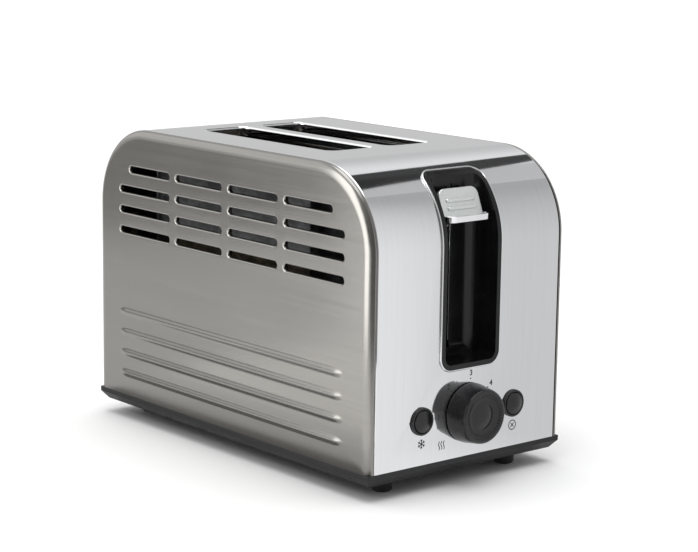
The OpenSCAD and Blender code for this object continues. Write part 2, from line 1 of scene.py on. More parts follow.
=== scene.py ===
"""Looks of a two-slice pop-up toaster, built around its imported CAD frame."""

import math

import bmesh
import bpy
from mathutils import Matrix, Vector


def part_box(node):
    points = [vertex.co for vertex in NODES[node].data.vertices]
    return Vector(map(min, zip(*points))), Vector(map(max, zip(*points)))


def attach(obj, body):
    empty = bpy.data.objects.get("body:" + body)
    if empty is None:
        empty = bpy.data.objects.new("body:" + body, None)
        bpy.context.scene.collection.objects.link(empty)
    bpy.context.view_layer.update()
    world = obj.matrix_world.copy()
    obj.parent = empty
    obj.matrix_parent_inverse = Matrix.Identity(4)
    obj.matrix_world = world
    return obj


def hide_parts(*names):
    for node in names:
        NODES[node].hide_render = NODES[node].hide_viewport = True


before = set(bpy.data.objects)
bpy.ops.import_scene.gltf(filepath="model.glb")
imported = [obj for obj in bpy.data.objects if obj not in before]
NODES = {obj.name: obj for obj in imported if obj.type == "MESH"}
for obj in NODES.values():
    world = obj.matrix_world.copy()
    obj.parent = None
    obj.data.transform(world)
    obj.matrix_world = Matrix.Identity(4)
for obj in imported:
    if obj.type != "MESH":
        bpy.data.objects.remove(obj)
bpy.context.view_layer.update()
MM = 0.001

# Sizes shared with the CAD source, in metres
BEND_R = 50.5 * MM
EDGE_R = 4 * MM
EDGE_IN = 6.5 * MM
SHEET = 0.8 * MM
KNOB_R = 18 * MM
BUTTON_X = 37 * MM
RING_R = 8.4 * MM
CONTROL_Z = 43.5 * MM
SLOT_X = 23 * MM
SLOT_Y = 9 * MM
SLOT_W = 36 * MM
SLOT_L = 132 * MM
SLOT_R = 6 * MM
SLOT_LIP = 6 * MM

WRAP_LO, WRAP_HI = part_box("outer_wrap")
PANEL_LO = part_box("left_side_panel")[0]
FRONT_Y = WRAP_LO.y
BACK_Y = WRAP_HI.y
TOP_Z = WRAP_HI.z
BASE_Z = WRAP_LO.z
ARC_Y = BACK_Y - BEND_R
ARC_Z = TOP_Z - BEND_R
RISE = ARC_Z - BASE_Z
QUARTER = BEND_R * math.pi / 2

# Distance below which points of a mesh are one point
SAME = 1e-7


# ---------------------------------------------------------------- camera

# Found by fitting the casing's corners to the photograph: metres, radians and millimetres
CAMERA_PLACE = (-0.82642, -1.00613, 0.34882)
CAMERA_YAW = -0.70105
CAMERA_PITCH = 0.185228
CAMERA_ROLL = 0.014091
CAMERA_LENS = 106.95


def place_camera():
    yaw, pitch, roll = CAMERA_YAW, CAMERA_PITCH, CAMERA_ROLL
    back = Vector((
        math.sin(yaw) * math.cos(pitch), -math.cos(yaw) * math.cos(pitch), math.sin(pitch)))
    right = (-back).cross(Vector((0, 0, 1))).normalized()
    up = right.cross(-back)
    turned = math.cos(roll) * right + math.sin(roll) * up
    upright = math.cos(roll) * up - math.sin(roll) * right
    data = bpy.data.cameras.new("camera")
    data.sensor_width = 36
    data.lens = CAMERA_LENS
    data.clip_start = 0.05
    camera = bpy.data.objects.new("camera", data)
    bpy.context.scene.collection.objects.link(camera)
    facing = Matrix((turned, upright, back)).transposed().to_4x4()
    camera.matrix_world = Matrix.Translation(CAMERA_PLACE) @ facing
    bpy.context.scene.camera = camera


place_camera()


# ---------------------------------------------------------------- materials

class Graph:
    """Adds nodes to a node tree. Values given as sockets are linked."""

    def __init__(self, tree):
        self.tree = tree

    def put(self, node, values):
        for key, value in values.items():
            socket = node.inputs[key]
            if isinstance(value, bpy.types.NodeSocket):
                self.tree.links.new(value, socket)
            elif isinstance(value, tuple) and len(value) == 3 and socket.type == "RGBA":
                socket.default_value = (*value, 1)
            else:
                socket.default_value = value

    def add(self, kind, values, **settings):
        node = self.tree.nodes.new("ShaderNode" + kind)
        for key, value in settings.items():
            setattr(node, key, value)
        self.put(node, values)
        return node

    def math(self, kind, a, b, c=0.5):
        return self.add("Math", {0: a, 1: b, 2: c}, operation=kind).outputs[0]

    def step(self, value, start, stop):
        """0 before start, 1 after stop, smooth between them."""
        return self.add("MapRange", {"Value": value, "From Min": start, "From Max": stop},
                        interpolation_type="SMOOTHSTEP").outputs[0]


class Finish(Graph):
    """One procedural material on the Principled shader."""

    def __init__(self, name, color, metallic, roughness, **sockets):
        self.mat = bpy.data.materials.new(name)
        self.mat.use_nodes = True
        super().__init__(self.mat.node_tree)
        self.shader = self.tree.nodes["Principled BSDF"]
        self.put(self.shader, {"Base Color": color, "Metallic": metallic, "Roughness": roughness})
        self.put(self.shader, {key.replace("_", " "): value for key, value in sockets.items()})

    def place(self, scale):
        """Object coordinates in metres, stretched by scale."""
        coord = self.add("TexCoord", {})
        return self.add("Mapping", {"Vector": coord.outputs["Object"], "Scale": scale}).outputs[0]

    def noise(self, scale, size, detail=3.0, rough=0.5):
        return self.add("TexNoise", {
            "Vector": self.place(scale), "Scale": size, "Detail": detail, "Roughness": rough,
        }).outputs["Fac"]

    def cells(self, scale, size, feature="F1", output="Distance"):
        values = {"Vector": self.place(scale), "Scale": size}
        return self.add("TexVoronoi", values, feature=feature).outputs[output]

    def grey(self, color):
        return self.add("RGBToBW", {"Color": color}).outputs[0]

    def span(self, value, low, high, source=(0.3, 0.7)):
        """value, moved from the source range to low..high."""
        return self.add("MapRange", {
            "Value": value, "From Min": source[0], "From Max": source[1],
            "To Min": low, "To Max": high,
        }).outputs[0]

    def shade(self, value, dark, light, source=(0.3, 0.7)):
        """A colour between dark and light by value."""
        ramp = self.add("ValToRGB", {"Fac": value})
        ramp.color_ramp.elements[0].position = source[0]
        ramp.color_ramp.elements[0].color = (*dark, 1)
        ramp.color_ramp.elements[1].position = source[1]
        ramp.color_ramp.elements[1].color = (*light, 1)
        return ramp.outputs[0]

    def bumps(self, *layers):
        """Adds bump layers of (height, strength, distance in metres), coarse first."""
        normal = None
        for height, strength, distance in layers:
            values = {"Height": height, "Strength": strength, "Distance": distance}
            if normal:
                values["Normal"] = normal
            normal = self.add("Bump", values).outputs[0]
        self.put(self.shader, {"Normal": normal})
        return self.mat


def polished_steel():
    """Bright sheet with a faint upright grain and a slightly wavy face."""
    f = Finish("polished_steel", (0.7, 0.705, 0.715), 1.0, 0.08)
    grain = f.noise((1, 0.012, 0.012), 1500, 4, 0.6)
    cloud = f.noise((1, 1, 1), 24, 3, 0.5)
    rough = f.math("ADD", f.span(grain, 0.045, 0.085), f.span(cloud, -0.01, 0.016))
    f.put(f.shader, {
        "Roughness": rough,
        "Base Color": f.shade(grain, (0.685, 0.69, 0.705), (0.715, 0.718, 0.728)),
    })
    wave = f.noise((1, 1, 0.6), 9, 1, 0.4)
    return f.bumps((wave, 0.08, 0.001), (grain, 0.004, 0.00005))


def brushed_steel(name, dark, light, low, high, aniso):
    """Satin sheet brushed along Y; low and high bound its roughness."""
    f = Finish(name, light, 1.0, 0.3, Anisotropic=aniso)
    f.put(f.shader, {"Tangent": f.add("Tangent", {}, direction_type="RADIAL", axis="Z").outputs[0]})
    streak = f.noise((1, 0.006, 1), 1700, 5, 0.7)
    band = f.noise((1, 0.03, 1), 260, 2, 0.5)
    cloud = f.noise((1, 1, 1), 14, 3, 0.5)
    both = f.math("ADD", f.math("MULTIPLY", streak, 0.65), f.math("MULTIPLY", band, 0.35))
    rough = f.math("ADD", f.span(both, low, high), f.span(cloud, -0.02, 0.03))
    f.put(f.shader, {"Roughness": rough, "Base Color": f.shade(both, dark, light)})
    return f.bumps((cloud, 0.05, 0.0006), (streak, 0.09, 0.00006))


def moulded(name, color, roughness, grain, strength, specular=0.5):
    """Moulded plastic with a fine grain and slightly rubbed high spots."""
    f = Finish(name, color, 0.0, roughness, Specular_IOR_Level=specular)
    pores = f.cells((1, 1, 1), grain, "SMOOTH_F1")
    cloud = f.noise((1, 1, 1), 60, 4, 0.55)
    lighter = tuple(min(1.0, c * 1.35 + 0.002) for c in color)
    f.put(f.shader, {
        "Base Color": f.shade(cloud, color, lighter),
        "Roughness": f.math("ADD", f.span(cloud, -0.05, 0.07),
                            f.span(pores, roughness - 0.03, roughness + 0.05)),
    })
    return f.bumps((cloud, 0.05, 0.0004), (pores, strength, 0.00012))


def painted_silver():
    """Silver paint with fine flakes."""
    f = Finish("lever_silver", (0.7, 0.72, 0.71), 0.75, 0.34, Coat_Weight=0.25, Coat_Roughness=0.2)
    flake = f.grey(f.cells((1, 1, 1), 3200, "F1", "Color"))
    cloud = f.noise((1, 1, 1), 90, 3)
    f.put(f.shader, {
        "Base Color": f.shade(flake, (0.62, 0.645, 0.635), (0.82, 0.845, 0.835), (0.1, 0.9)),
        "Roughness": f.span(cloud, 0.3, 0.4),
    })
    return f.bumps((cloud, 0.05, 0.0003), (flake, 0.05, 0.00005))


def chrome(name, tint, low, high):
    """Plated or ground metal with faint smears; low and high bound its roughness."""
    f = Finish(name, tint, 1.0, low)
    smear = f.noise((1, 1, 1), 70, 4, 0.6)
    f.put(f.shader, {
        "Roughness": f.span(smear, low, high),
        "Base Color": f.shade(smear, tuple(c * 0.93 for c in tint), tint),
    })
    return f.bumps((smear, 0.04, 0.0004), (f.noise((1, 1, 1), 900, 2), 0.02, 0.00005))


def galvanised():
    """Zinc-coated sheet with its spangle."""
    f = Finish("galvanised", (0.2, 0.204, 0.21), 0.9, 0.42)
    spangle = f.grey(f.cells((1, 1, 1), 210, "F1", "Color"))
    cloud = f.noise((1, 1, 1), 40, 5, 0.6)
    f.put(f.shader, {
        "Base Color": f.shade(spangle, (0.15, 0.154, 0.16), (0.25, 0.255, 0.26), (0.1, 0.9)),
        "Roughness": f.math("ADD", f.span(spangle, 0.32, 0.44, (0.1, 0.9)),
                            f.span(cloud, -0.04, 0.08)),
    })
    return f.bumps((spangle, 0.05, 0.0002), (cloud, 0.1, 0.0003))


def mica():
    """Pressed flakes of mica, a little browned, and kept dark as painted shade for the insides seen
    through the vents.
    """
    # The colours are about half the mica's own brown: painted shade for the dark inside behind the
    # vents
    f = Finish("mica", (0.2, 0.15, 0.09), 0.15, 0.5, Coat_Weight=0.2, Coat_Roughness=0.35)
    flakes = f.grey(f.cells((1, 1, 1.6), 130, "F1", "Color"))
    cloud = f.noise((1, 1, 1), 55, 6, 0.65)
    mixed = f.math("ADD", f.math("MULTIPLY", flakes, 0.5), f.math("MULTIPLY", cloud, 0.5))
    f.put(f.shader, {
        "Base Color": f.shade(mixed, (0.1, 0.07, 0.04), (0.27, 0.22, 0.15), (0.25, 0.75)),
        "Roughness": f.span(flakes, 0.3, 0.55, (0, 1)),
    })
    return f.bumps((flakes, 0.2, 0.00015), (cloud, 0.1, 0.0002))


def oxidised(name, dark, light, metallic, roughness):
    """Heat-stained or rolled metal with patches of oxide."""
    f = Finish(name, light, metallic, roughness)
    patch = f.noise((1, 1, 1), 160, 6, 0.65)
    fine = f.noise((1, 1, 1), 1400, 3, 0.6)
    f.put(f.shader, {
        "Base Color": f.shade(patch, dark, light),
        "Roughness": f.math("ADD", f.span(patch, roughness - 0.08, roughness + 0.1),
                            f.span(fine, -0.03, 0.03)),
    })
    return f.bumps((patch, 0.12, 0.0002), (fine, 0.1, 0.00004))


def circuit_board():
    """Green lacquer over a lattice of tracks."""
    f = Finish("circuit_board", (0.02, 0.13, 0.06), 0.0, 0.35, Coat_Weight=0.6, Coat_Roughness=0.15)
    tracks = f.add("TexBrick", {
        "Vector": f.place((1, 0, 1)), "Scale": 90.0, "Mortar Size": 0.04,
        "Color1": (0.02, 0.15, 0.07), "Color2": (0.02, 0.12, 0.05), "Mortar": (0.07, 0.24, 0.12),
    })
    cloud = f.noise((1, 1, 1), 120, 3)
    f.put(f.shader, {"Base Color": tracks.outputs["Color"], "Roughness": f.span(cloud, 0.28, 0.42)})
    return f.bumps((tracks.outputs["Fac"], 0.3, 0.0001), (cloud, 0.05, 0.0001))


def wound_tape():
    """Turns of copper wire under lacquer."""
    f = Finish("wound_tape", (0.5, 0.2, 0.05), 0.2, 0.4, Coat_Weight=0.3, Coat_Roughness=0.25)
    wraps = f.add("TexWave", {
        "Vector": f.place((1, 1, 1)), "Scale": 420.0, "Distortion": 0.6, "Detail": 1.0,
    }, bands_direction="Z").outputs["Fac"]
    f.put(f.shader, {
        "Base Color": f.shade(wraps, (0.3, 0.1, 0.03), (0.6, 0.27, 0.08), (0.2, 0.8)),
        "Roughness": f.span(wraps, 0.32, 0.5, (0, 1)),
    })
    return f.bumps((wraps, 0.4, 0.0001))


def printed_ink():
    f = Finish("printed_ink", (0.02, 0.02, 0.022), 0.0, 0.5)
    speck = f.noise((1, 1, 1), 2600, 3, 0.6)
    f.put(f.shader, {
        "Base Color": f.shade(speck, (0.012, 0.012, 0.014), (0.04, 0.04, 0.044)),
        "Roughness": f.span(speck, 0.42, 0.6),
    })
    return f.bumps((speck, 0.1, 0.00002))


# One finish for each material slot of the CAD record
FINISHES = {
    "wrap_polished": polished_steel(),
    "panel_brushed": brushed_steel(
        "brushed_panel", (0.22, 0.213, 0.203), (0.25, 0.244, 0.233), 0.19, 0.25, 0.45),
    "casing_black": moulded("casing_black", (0.01, 0.01, 0.0108), 0.46, 2400, 0.3, 0.3),
    "bezel_black": moulded("bezel_black", (0.004, 0.004, 0.0046), 0.2, 3400, 0.06, 0.32),
    "foot_rubber": moulded("foot_rubber", (0.014, 0.014, 0.014), 0.68, 1500, 0.4, 0.3),
    "screw_steel": oxidised("screw_steel", (0.3, 0.3, 0.31), (0.55, 0.55, 0.56), 0.95, 0.3),
    "galvanised": galvanised(),
    "mica": mica(),
    "ribbon": oxidised("ribbon", (0.16, 0.14, 0.13), (0.42, 0.38, 0.34), 0.9, 0.42),
    "wire": chrome("plated_wire", (0.4, 0.4, 0.41), 0.24, 0.38),
    "rod": chrome("ground_rod", (0.5, 0.5, 0.51), 0.03, 0.07),
    "spring": chrome("spring_wire", (0.5, 0.51, 0.53), 0.22, 0.36),
    "lever_silver": painted_silver(),
    "lever_chrome": chrome("lever_chrome", (0.9, 0.9, 0.92), 0.03, 0.08),
    "core_steel": oxidised("core_steel", (0.2, 0.2, 0.22), (0.4, 0.4, 0.42), 0.95, 0.4),
    "coil_tape": wound_tape(),
    "board_green": circuit_board(),
    "component_black": moulded("component_black", (0.02, 0.02, 0.023), 0.45, 3000, 0.2),
    "knob_black": moulded("knob_black", (0.007, 0.007, 0.008), 0.25, 4200, 0.08, 0.4),
    "ceramic": moulded("ceramic", (0.62, 0.6, 0.54), 0.2, 1200, 0.05, 0.6),
    "contact_metal": oxidised(
        "contact_metal", (0.4, 0.24, 0.09), (0.78, 0.56, 0.26), 1.0, 0.25),
    "tray_steel": brushed_steel(
        "tray_steel", (0.4, 0.405, 0.41), (0.52, 0.525, 0.53), 0.3, 0.42, 0.4),
}
# Bright chrome for the channel's guide ribs, a painted highlight that makes two light lines on the
# black channel
GUIDE_HIGHLIGHT_CHROME = chrome("guide_highlight_chrome", (0.7, 0.7, 0.71), 0.1, 0.18)
INK = printed_ink()

for node in NODES.values():
    for holder in node.material_slots:
        holder.material = FINISHES[holder.material.name.split(".")[0]]


# ---------------------------------------------------------------- mesh tools

def link_object(name, data):
    thing = bpy.data.objects.new(name, data)
    bpy.context.scene.collection.objects.link(thing)
    return thing


def link_mesh(name, bm, material):
    """Frees bm once its mesh is in the scene."""
    mesh = bpy.data.meshes.new(name)
    bm.to_mesh(mesh)
    bm.free()
    mesh.materials.append(material)
    return link_object(name, mesh)


def new_piece(name, bm, slot, body, replaced=(), finish=None, smooth=True):
    """Turns bm into a piece that rides on body and takes its finish from slot."""
    bmesh.ops.remove_doubles(bm, verts=bm.verts, dist=SAME)
    bmesh.ops.dissolve_degenerate(bm, edges=bm.edges, dist=SAME / 10)
    bmesh.ops.recalc_face_normals(bm, faces=bm.faces)
    piece = link_mesh(name, bm, finish or FINISHES[slot])
    for polygon in piece.data.polygons:
        polygon.use_smooth = smooth
    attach(piece, body)
    if replaced:
        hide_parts(*replaced)
    return piece


def weigh_normals(piece):
    """Keeps large flat faces flat beside their rounded edges."""
    modifier = piece.modifiers.new("weighted", "WEIGHTED_NORMAL")
    modifier.weight = 100
    modifier.keep_sharp = False


def thicken(piece, thickness):
    modifier = piece.modifiers.new("sheet", "SOLIDIFY")
    modifier.thickness = thickness
    modifier.offset = -1


def soften(node_name, width, segments=2, angle=35):
    """Rounds the sharp edges of a CAD node with modifiers."""
    node = NODES[node_name]
    weld = node.modifiers.new("weld", "WELD")
    weld.merge_threshold = 1e-6
    bevel = node.modifiers.new("round", "BEVEL")
    bevel.width = width
    bevel.segments = segments
    bevel.limit_method = "ANGLE"
    bevel.angle_limit = math.radians(angle)
    weigh_normals(node)


def stadium(half_l, radius, steps=10, stretch=1.0):
    """Points of a round-ended slot, counter-clockwise; half_l is to the centre of its ends."""
    points = []
    for end, start in ((1, -90), (-1, 90)):
        for a, b in arc(0, 0, radius, start, start + 180, steps):
            points.append((end * half_l + stretch * a, b))
    return points


def arc(cx, cy, radius, start, stop, steps):
    """Points on an arc about (cx, cy); start and stop are in degrees."""
    turns = [math.radians(start + (stop - start) * k / steps) for k in range(steps + 1)]
    return [(cx + radius * math.cos(turn), cy + radius * math.sin(turn)) for turn in turns]


def rounded_box(half_a, half_b, radius, steps=8):
    points = []
    for sa, sb, start in ((1, 1, 0), (-1, 1, 90), (-1, -1, 180), (1, -1, 270)):
        cx, cy = sa * (half_a - radius), sb * (half_b - radius)
        points += arc(cx, cy, radius, start, start + 90, steps)
    return points


def add_loop(bm, points):
    """A closed line of new vertices, and its edges."""
    verts = [bm.verts.new(p) for p in points]
    edges = [bm.edges.new((verts[k - 1], verts[k])) for k in range(len(verts))]
    return verts, edges


def join_loops(bm, first, second, closed=True):
    """Faces between two rows of the same number of vertices."""
    count = len(first)
    for k in range(count if closed else count - 1):
        n = (k + 1) % count
        bm.faces.new((first[k], first[n], second[n], second[k]))


def add_rings(bm, rings):
    """Joins closed rings of points into a wall; gives the edges of the first ring."""
    verts, edges = add_loop(bm, rings[0])
    for points in rings[1:]:
        further = [bm.verts.new(p) for p in points]
        join_loops(bm, verts, further)
        verts = further
    return edges


def fillet(radius, steps=5):
    """(distance in, depth) pairs of a quarter round, from the flat to the wall."""
    turns = [math.pi / 2 * k / steps for k in range(steps + 1)]
    return [(radius * math.sin(turn), radius * (1 - math.cos(turn))) for turn in turns]


def divide(a, b, step):
    """Points from a up to but not including b, about a step apart."""
    count = max(1, round((b - a).length / step))
    return [a + (b - a) * k / count for k in range(count)]


def circle(a, b, radius, steps):
    return arc(a, b, radius, 0, 360, steps)[:-1]


# ---------------------------------------------------------------- wrap

SKIN_T = SHEET * 0.9
WRAP_ROLL = 1.3 * MM
WRAP_SKIRT = 2.2 * MM
SLOT_ROLL = 1.6 * MM
LEVER_LAP = 0.8 * MM
LEVER_CORNER = 8 * MM
BEAD_R = 0.55 * MM
SHAFT_HOLE_R = 5 * MM
BUTTON_HOLE_R = 7.7 * MM


def bend_sheet(point):
    """Takes a point of the flat sheet to its place on the casing.

    It is (along the sheet from its front lower edge, across, height above its face).
    """
    along, across, height = point
    flat = 2 * ARC_Y
    reach = BEND_R + height
    if along <= RISE:
        return Vector((across, FRONT_Y - height, BASE_Z + along))
    if along <= RISE + QUARTER:
        turn = (along - RISE) / BEND_R
        return Vector((across, -ARC_Y - reach * math.cos(turn), ARC_Z + reach * math.sin(turn)))
    if along <= RISE + QUARTER + flat:
        return Vector((across, -ARC_Y + along - RISE - QUARTER, TOP_Z + height))
    turn = (along - RISE - QUARTER - flat) / BEND_R
    return Vector((across, ARC_Y + reach * math.sin(turn), ARC_Z + reach * math.cos(turn)))


def slab(bm, shape, low, high, edge, put, steps=4):
    """A plate between two heights with rounded edges.

    shape(inset) gives its outline, and put places a point of it.
    """
    rings = []
    for k in range(steps + 1):
        turn = math.pi / 2 * k / steps
        rings.append((edge * (1 - math.sin(turn)), low + edge * (1 - math.cos(turn))))
    rings += [(inset, high - (height - low)) for inset, height in reversed(rings)]
    loops = [[bm.verts.new(put(a, b, height)) for a, b in shape(inset)] for inset, height in rings]
    for first, second in zip(loops, loops[1:]):
        join_loops(bm, first, second)
    bm.faces.new(loops[0])
    bm.faces.new(loops[-1])


def lever_opening(lap, steps=8):
    """Outline on the flat sheet, at a distance lap inside the rim of the lever's surround."""
    lo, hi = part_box("lever_bezel")
    high = math.asin((hi.z - LEVER_LAP - ARC_Z) / BEND_R) * BEND_R + RISE
    low = lo.z + LEVER_LAP - BASE_Z
    shape = rounded_box((high - low) / 2 + LEVER_LAP - lap, hi.x - lap, LEVER_CORNER, steps)
    return [((low + high) / 2 + a, b) for a, b in shape]


def make_wrap():
    """The polished sheet over the front, top and back bend, with rolled slot lips."""
    bm = bmesh.new()
    end = RISE + 2 * QUARTER + 2 * ARC_Y
    top_middle = RISE + QUARTER + ARC_Y
    inner = WRAP_HI.x - WRAP_ROLL
    corners = [(0, -inner, 0), (end, -inner, 0), (end, inner, 0), (0, inner, 0)]
    edges = add_loop(bm, corners)[1]

    # Rolled long edges beside the side panels
    for sign in (-1, 1):
        rows = []
        for out, depth in fillet(WRAP_ROLL, 6) + [(WRAP_ROLL, WRAP_SKIRT)]:
            rows.append([bm.verts.new((u, sign * (inner + out), -depth)) for u in (0, end)])
        for a, b in zip(rows, rows[1:]):
            bm.faces.new((a[0], a[1], b[1], b[0]))

    # Bread slots with turned-down lips
    for sign in (-1, 1):
        rings = []
        for inward, depth in fillet(SLOT_ROLL, 6) + [(SLOT_ROLL, SLOT_LIP)]:
            grow = SLOT_ROLL - inward
            shape = rounded_box(SLOT_L / 2 + grow, SLOT_W / 2 + grow, SLOT_R + grow, 10)
            rings.append([(top_middle + SLOT_Y + a, sign * SLOT_X + b, -depth) for a, b in shape])
        edges += add_rings(bm, rings)

    # Lever opening, under the rim of its surround
    edges += add_loop(bm, [(a, b, 0) for a, b in lever_opening(LEVER_LAP)])[1]

    # Holes behind the knob and the buttons
    for x, radius in ((0, SHAFT_HOLE_R), (-BUTTON_X, BUTTON_HOLE_R), (BUTTON_X, BUTTON_HOLE_R)):
        edges += add_loop(bm, [(a, b, 0) for a, b in circle(CONTROL_Z - BASE_Z, x, radius, 40)])[1]
    bmesh.ops.triangle_fill(bm, use_beauty=True, edges=edges)
    bmesh.ops.remove_doubles(bm, verts=bm.verts, dist=SAME)

    # Cuts across the bends, then the bending itself
    steps = 36
    for start in (RISE, RISE + QUARTER + 2 * ARC_Y):
        for k in range(steps + 1):
            bmesh.ops.bisect_plane(
                bm, geom=bm.verts[:] + bm.edges[:] + bm.faces[:], dist=SAME,
                plane_co=(start + QUARTER * k / steps, 0, 0), plane_no=(1, 0, 0))
    for vert in bm.verts:
        vert.co = bend_sheet(vert.co)
    piece = new_piece("wrap_shell", bm, "wrap_polished", "housing", ["outer_wrap"])
    thicken(piece, SKIN_T)
    weigh_normals(piece)


def make_bead():
    """A fine bead where the sheet meets the rim of the lever's surround."""
    bm = bmesh.new()
    corners = [Vector((a, b, 0)) for a, b in lever_opening(0, 12)]
    path = []
    for k, corner in enumerate(corners):
        path += divide(corner, corners[(k + 1) % len(corners)], 4 * MM)
    rings = []
    for k, point in enumerate(path):
        along = (path[(k + 1) % len(path)] - path[k - 1]).normalized()
        across = Vector((along.y, -along.x, 0))
        ring = []
        for sideways, upwards in circle(0.7 * BEAD_R, 1.1 * BEAD_R, BEAD_R, 10):
            ring.append(bm.verts.new(bend_sheet(
                point + across * sideways + Vector((0, 0, upwards)))))
        rings.append(ring)
    for k, ring in enumerate(rings):
        join_loops(bm, ring, rings[(k + 1) % len(rings)])
    weigh_normals(new_piece("wrap_bead", bm, "wrap_polished", "housing"))


def make_lap():
    """The wrap's joggled rear edge, which closes the seam above the rear panel from inside."""
    bm = bmesh.new()
    half = WRAP_HI.x - 1 * MM
    low, high = ARC_Z - 5 * MM, ARC_Z + 1 * MM
    corners = [(-half, low), (half, low), (half, high), (-half, high)]
    slab(bm, lambda inset: corners, 1 * MM, 1.6 * MM, 0.0,
         lambda a, b, depth: (a, BACK_Y - depth, b), 1)
    weigh_normals(new_piece("wrap_lap", bm, "wrap_polished", "housing"))


make_wrap()
make_bead()
make_lap()


# ---------------------------------------------------------------- side panels

# Rows of vents, and of ribs
ROWS = 4
VENT_Z = 167.6 * MM
VENT_PITCH = 13.4 * MM
VENT_R = 2 * MM
VENT_LIP = 1.3 * MM
# Near and far end of each vent from the panel's middle; the outer ones of the top row are shorter
VENTS = ((3.6 * MM, 51.6 * MM), (58.8 * MM, 113.8 * MM))
OUTER_VENT = VENTS[-1]
TOP_TRIM = 11 * MM
RIB_Z = 72.8 * MM
RIB_PITCH = 13.6 * MM
RIB_HALF = 116 * MM
RIB_W = 3.2 * MM
RIB_TAPER = 3.0
RIB_OUT = 1 * MM
# The pressed ribs stand a little lower than the CAD's, which keeps them inside its box
RIB_RISE = 0.88 * RIB_OUT


def outline_path(steps=40):
    """(y, z) and outward direction along the panel's rolled edge, front base to back base."""
    reach = BEND_R - EDGE_IN
    foot = BASE_Z + 6 * MM
    path = [(FRONT_Y + EDGE_IN, BASE_Z, -1, 0), (FRONT_Y + EDGE_IN, foot, -1, 0)]
    for side, start in ((-1, 180), (1, 90)):
        for ny, nz in arc(0, 0, 1, start, start - 90, steps):
            path.append((side * ARC_Y + reach * ny, ARC_Z + reach * nz, ny, nz))
    return path + [(BACK_Y - EDGE_IN, foot, 1, 0), (BACK_Y - EDGE_IN, BASE_Z, 1, 0)]


def make_side_panel(name, side):
    """A flat brushed face with rolled edges, lipped vents and pressed ribs. side is -1 or 1."""
    bm = bmesh.new()
    face_x = -PANEL_LO.x - RIB_OUT

    def at(y, z, height):
        return (side * (face_x + height), y, z)

    # Rolled edge, a quarter of an ellipse
    path = outline_path()
    verts, edges = add_loop(bm, [at(y, z, 0) for y, z, _, _ in path])
    for out, drop in fillet(1, 12)[1:]:
        further = [bm.verts.new(at(y + ny * EDGE_IN * out, z + nz * EDGE_IN * out, -EDGE_R * drop))
                   for y, z, ny, nz in path]
        join_loops(bm, verts, further, closed=False)
        verts = further

    for row in range(ROWS):
        z0 = VENT_Z - row * VENT_PITCH
        for sign in (-1, 1):
            for near, far in VENTS:
                if row == 0 and (near, far) == OUTER_VENT:
                    far -= TOP_TRIM
                middle = sign * (near + far) / 2
                half_l = (far - near) / 2 - VENT_R
                edges += add_rings(bm, [
                    [at(middle + a, z0 + b, -depth)
                     for a, b in stadium(half_l, VENT_R + VENT_LIP - inward)]
                    for inward, depth in fillet(VENT_LIP) + [(VENT_LIP, 3 * MM)]])

    steps = 12
    for row in range(ROWS):
        z0 = RIB_Z - row * RIB_PITCH
        rings = []
        for k in range(steps + 1):
            share = 1 - k / steps
            height = RIB_RISE * (0.5 + 0.5 * math.cos(math.pi * share))
            shape = stadium(RIB_HALF - RIB_TAPER * RIB_W, RIB_W * share, stretch=RIB_TAPER)
            rings.append([at(a, z0 + b, height) for a, b in shape])
        edges += add_rings(bm, rings)
    bmesh.ops.triangle_fill(bm, use_beauty=True, edges=edges)
    piece = new_piece(name, bm, "panel_brushed", "housing", [name.replace("_skin", "_side_panel")])
    thicken(piece, SKIN_T)
    weigh_normals(piece)


make_side_panel("left_skin", -1)
make_side_panel("right_skin", 1)


# ---------------------------------------------------------------- knob, buttons

KNOB_RIBS = 46
KNOB_RIB_H = 0.9 * MM
KNOB_DOME_R = 8.2 * MM
KNOB_DOME_SPHERE = 16 * MM
CAP_R = 6.6 * MM
CAP_SPHERE = 13.5 * MM
CAP_SHOULDER = 0.7 * MM
COLLAR_R = 7.6 * MM
RING_BORE_R = 7 * MM


def lathe_y(bm, x, profile, segments, lift=None):
    """Turns (radius, distance out of the front) about a control's axis.

    lift(index of the ring, index in it) moves single points further out.
    """
    rings = []
    for index, (radius, out) in enumerate(profile):
        ring = []
        for k in range(segments):
            turn = math.tau * k / segments
            extra = lift(index, k) if lift else 0
            ring.append(bm.verts.new((x + radius * math.sin(turn), FRONT_Y - out - extra,
                                      CONTROL_Z + radius * math.cos(turn))))
        rings.append(ring)
    for a, b in zip(rings, rings[1:]):
        join_loops(bm, a, b)
    return rings


def cap_profile(tip, sphere, radius, steps):
    """Profile of a shallow dome with its top at tip, from radius inwards, without either end."""
    radii = [radius * (1 - k / steps) for k in range(1, steps)]
    return [(r, tip - sphere + math.sqrt(sphere ** 2 - r ** 2)) for r in radii]


def sagitta(sphere, radius):
    """How far a dome drops from its top to radius."""
    return sphere - math.sqrt(sphere ** 2 - radius ** 2)


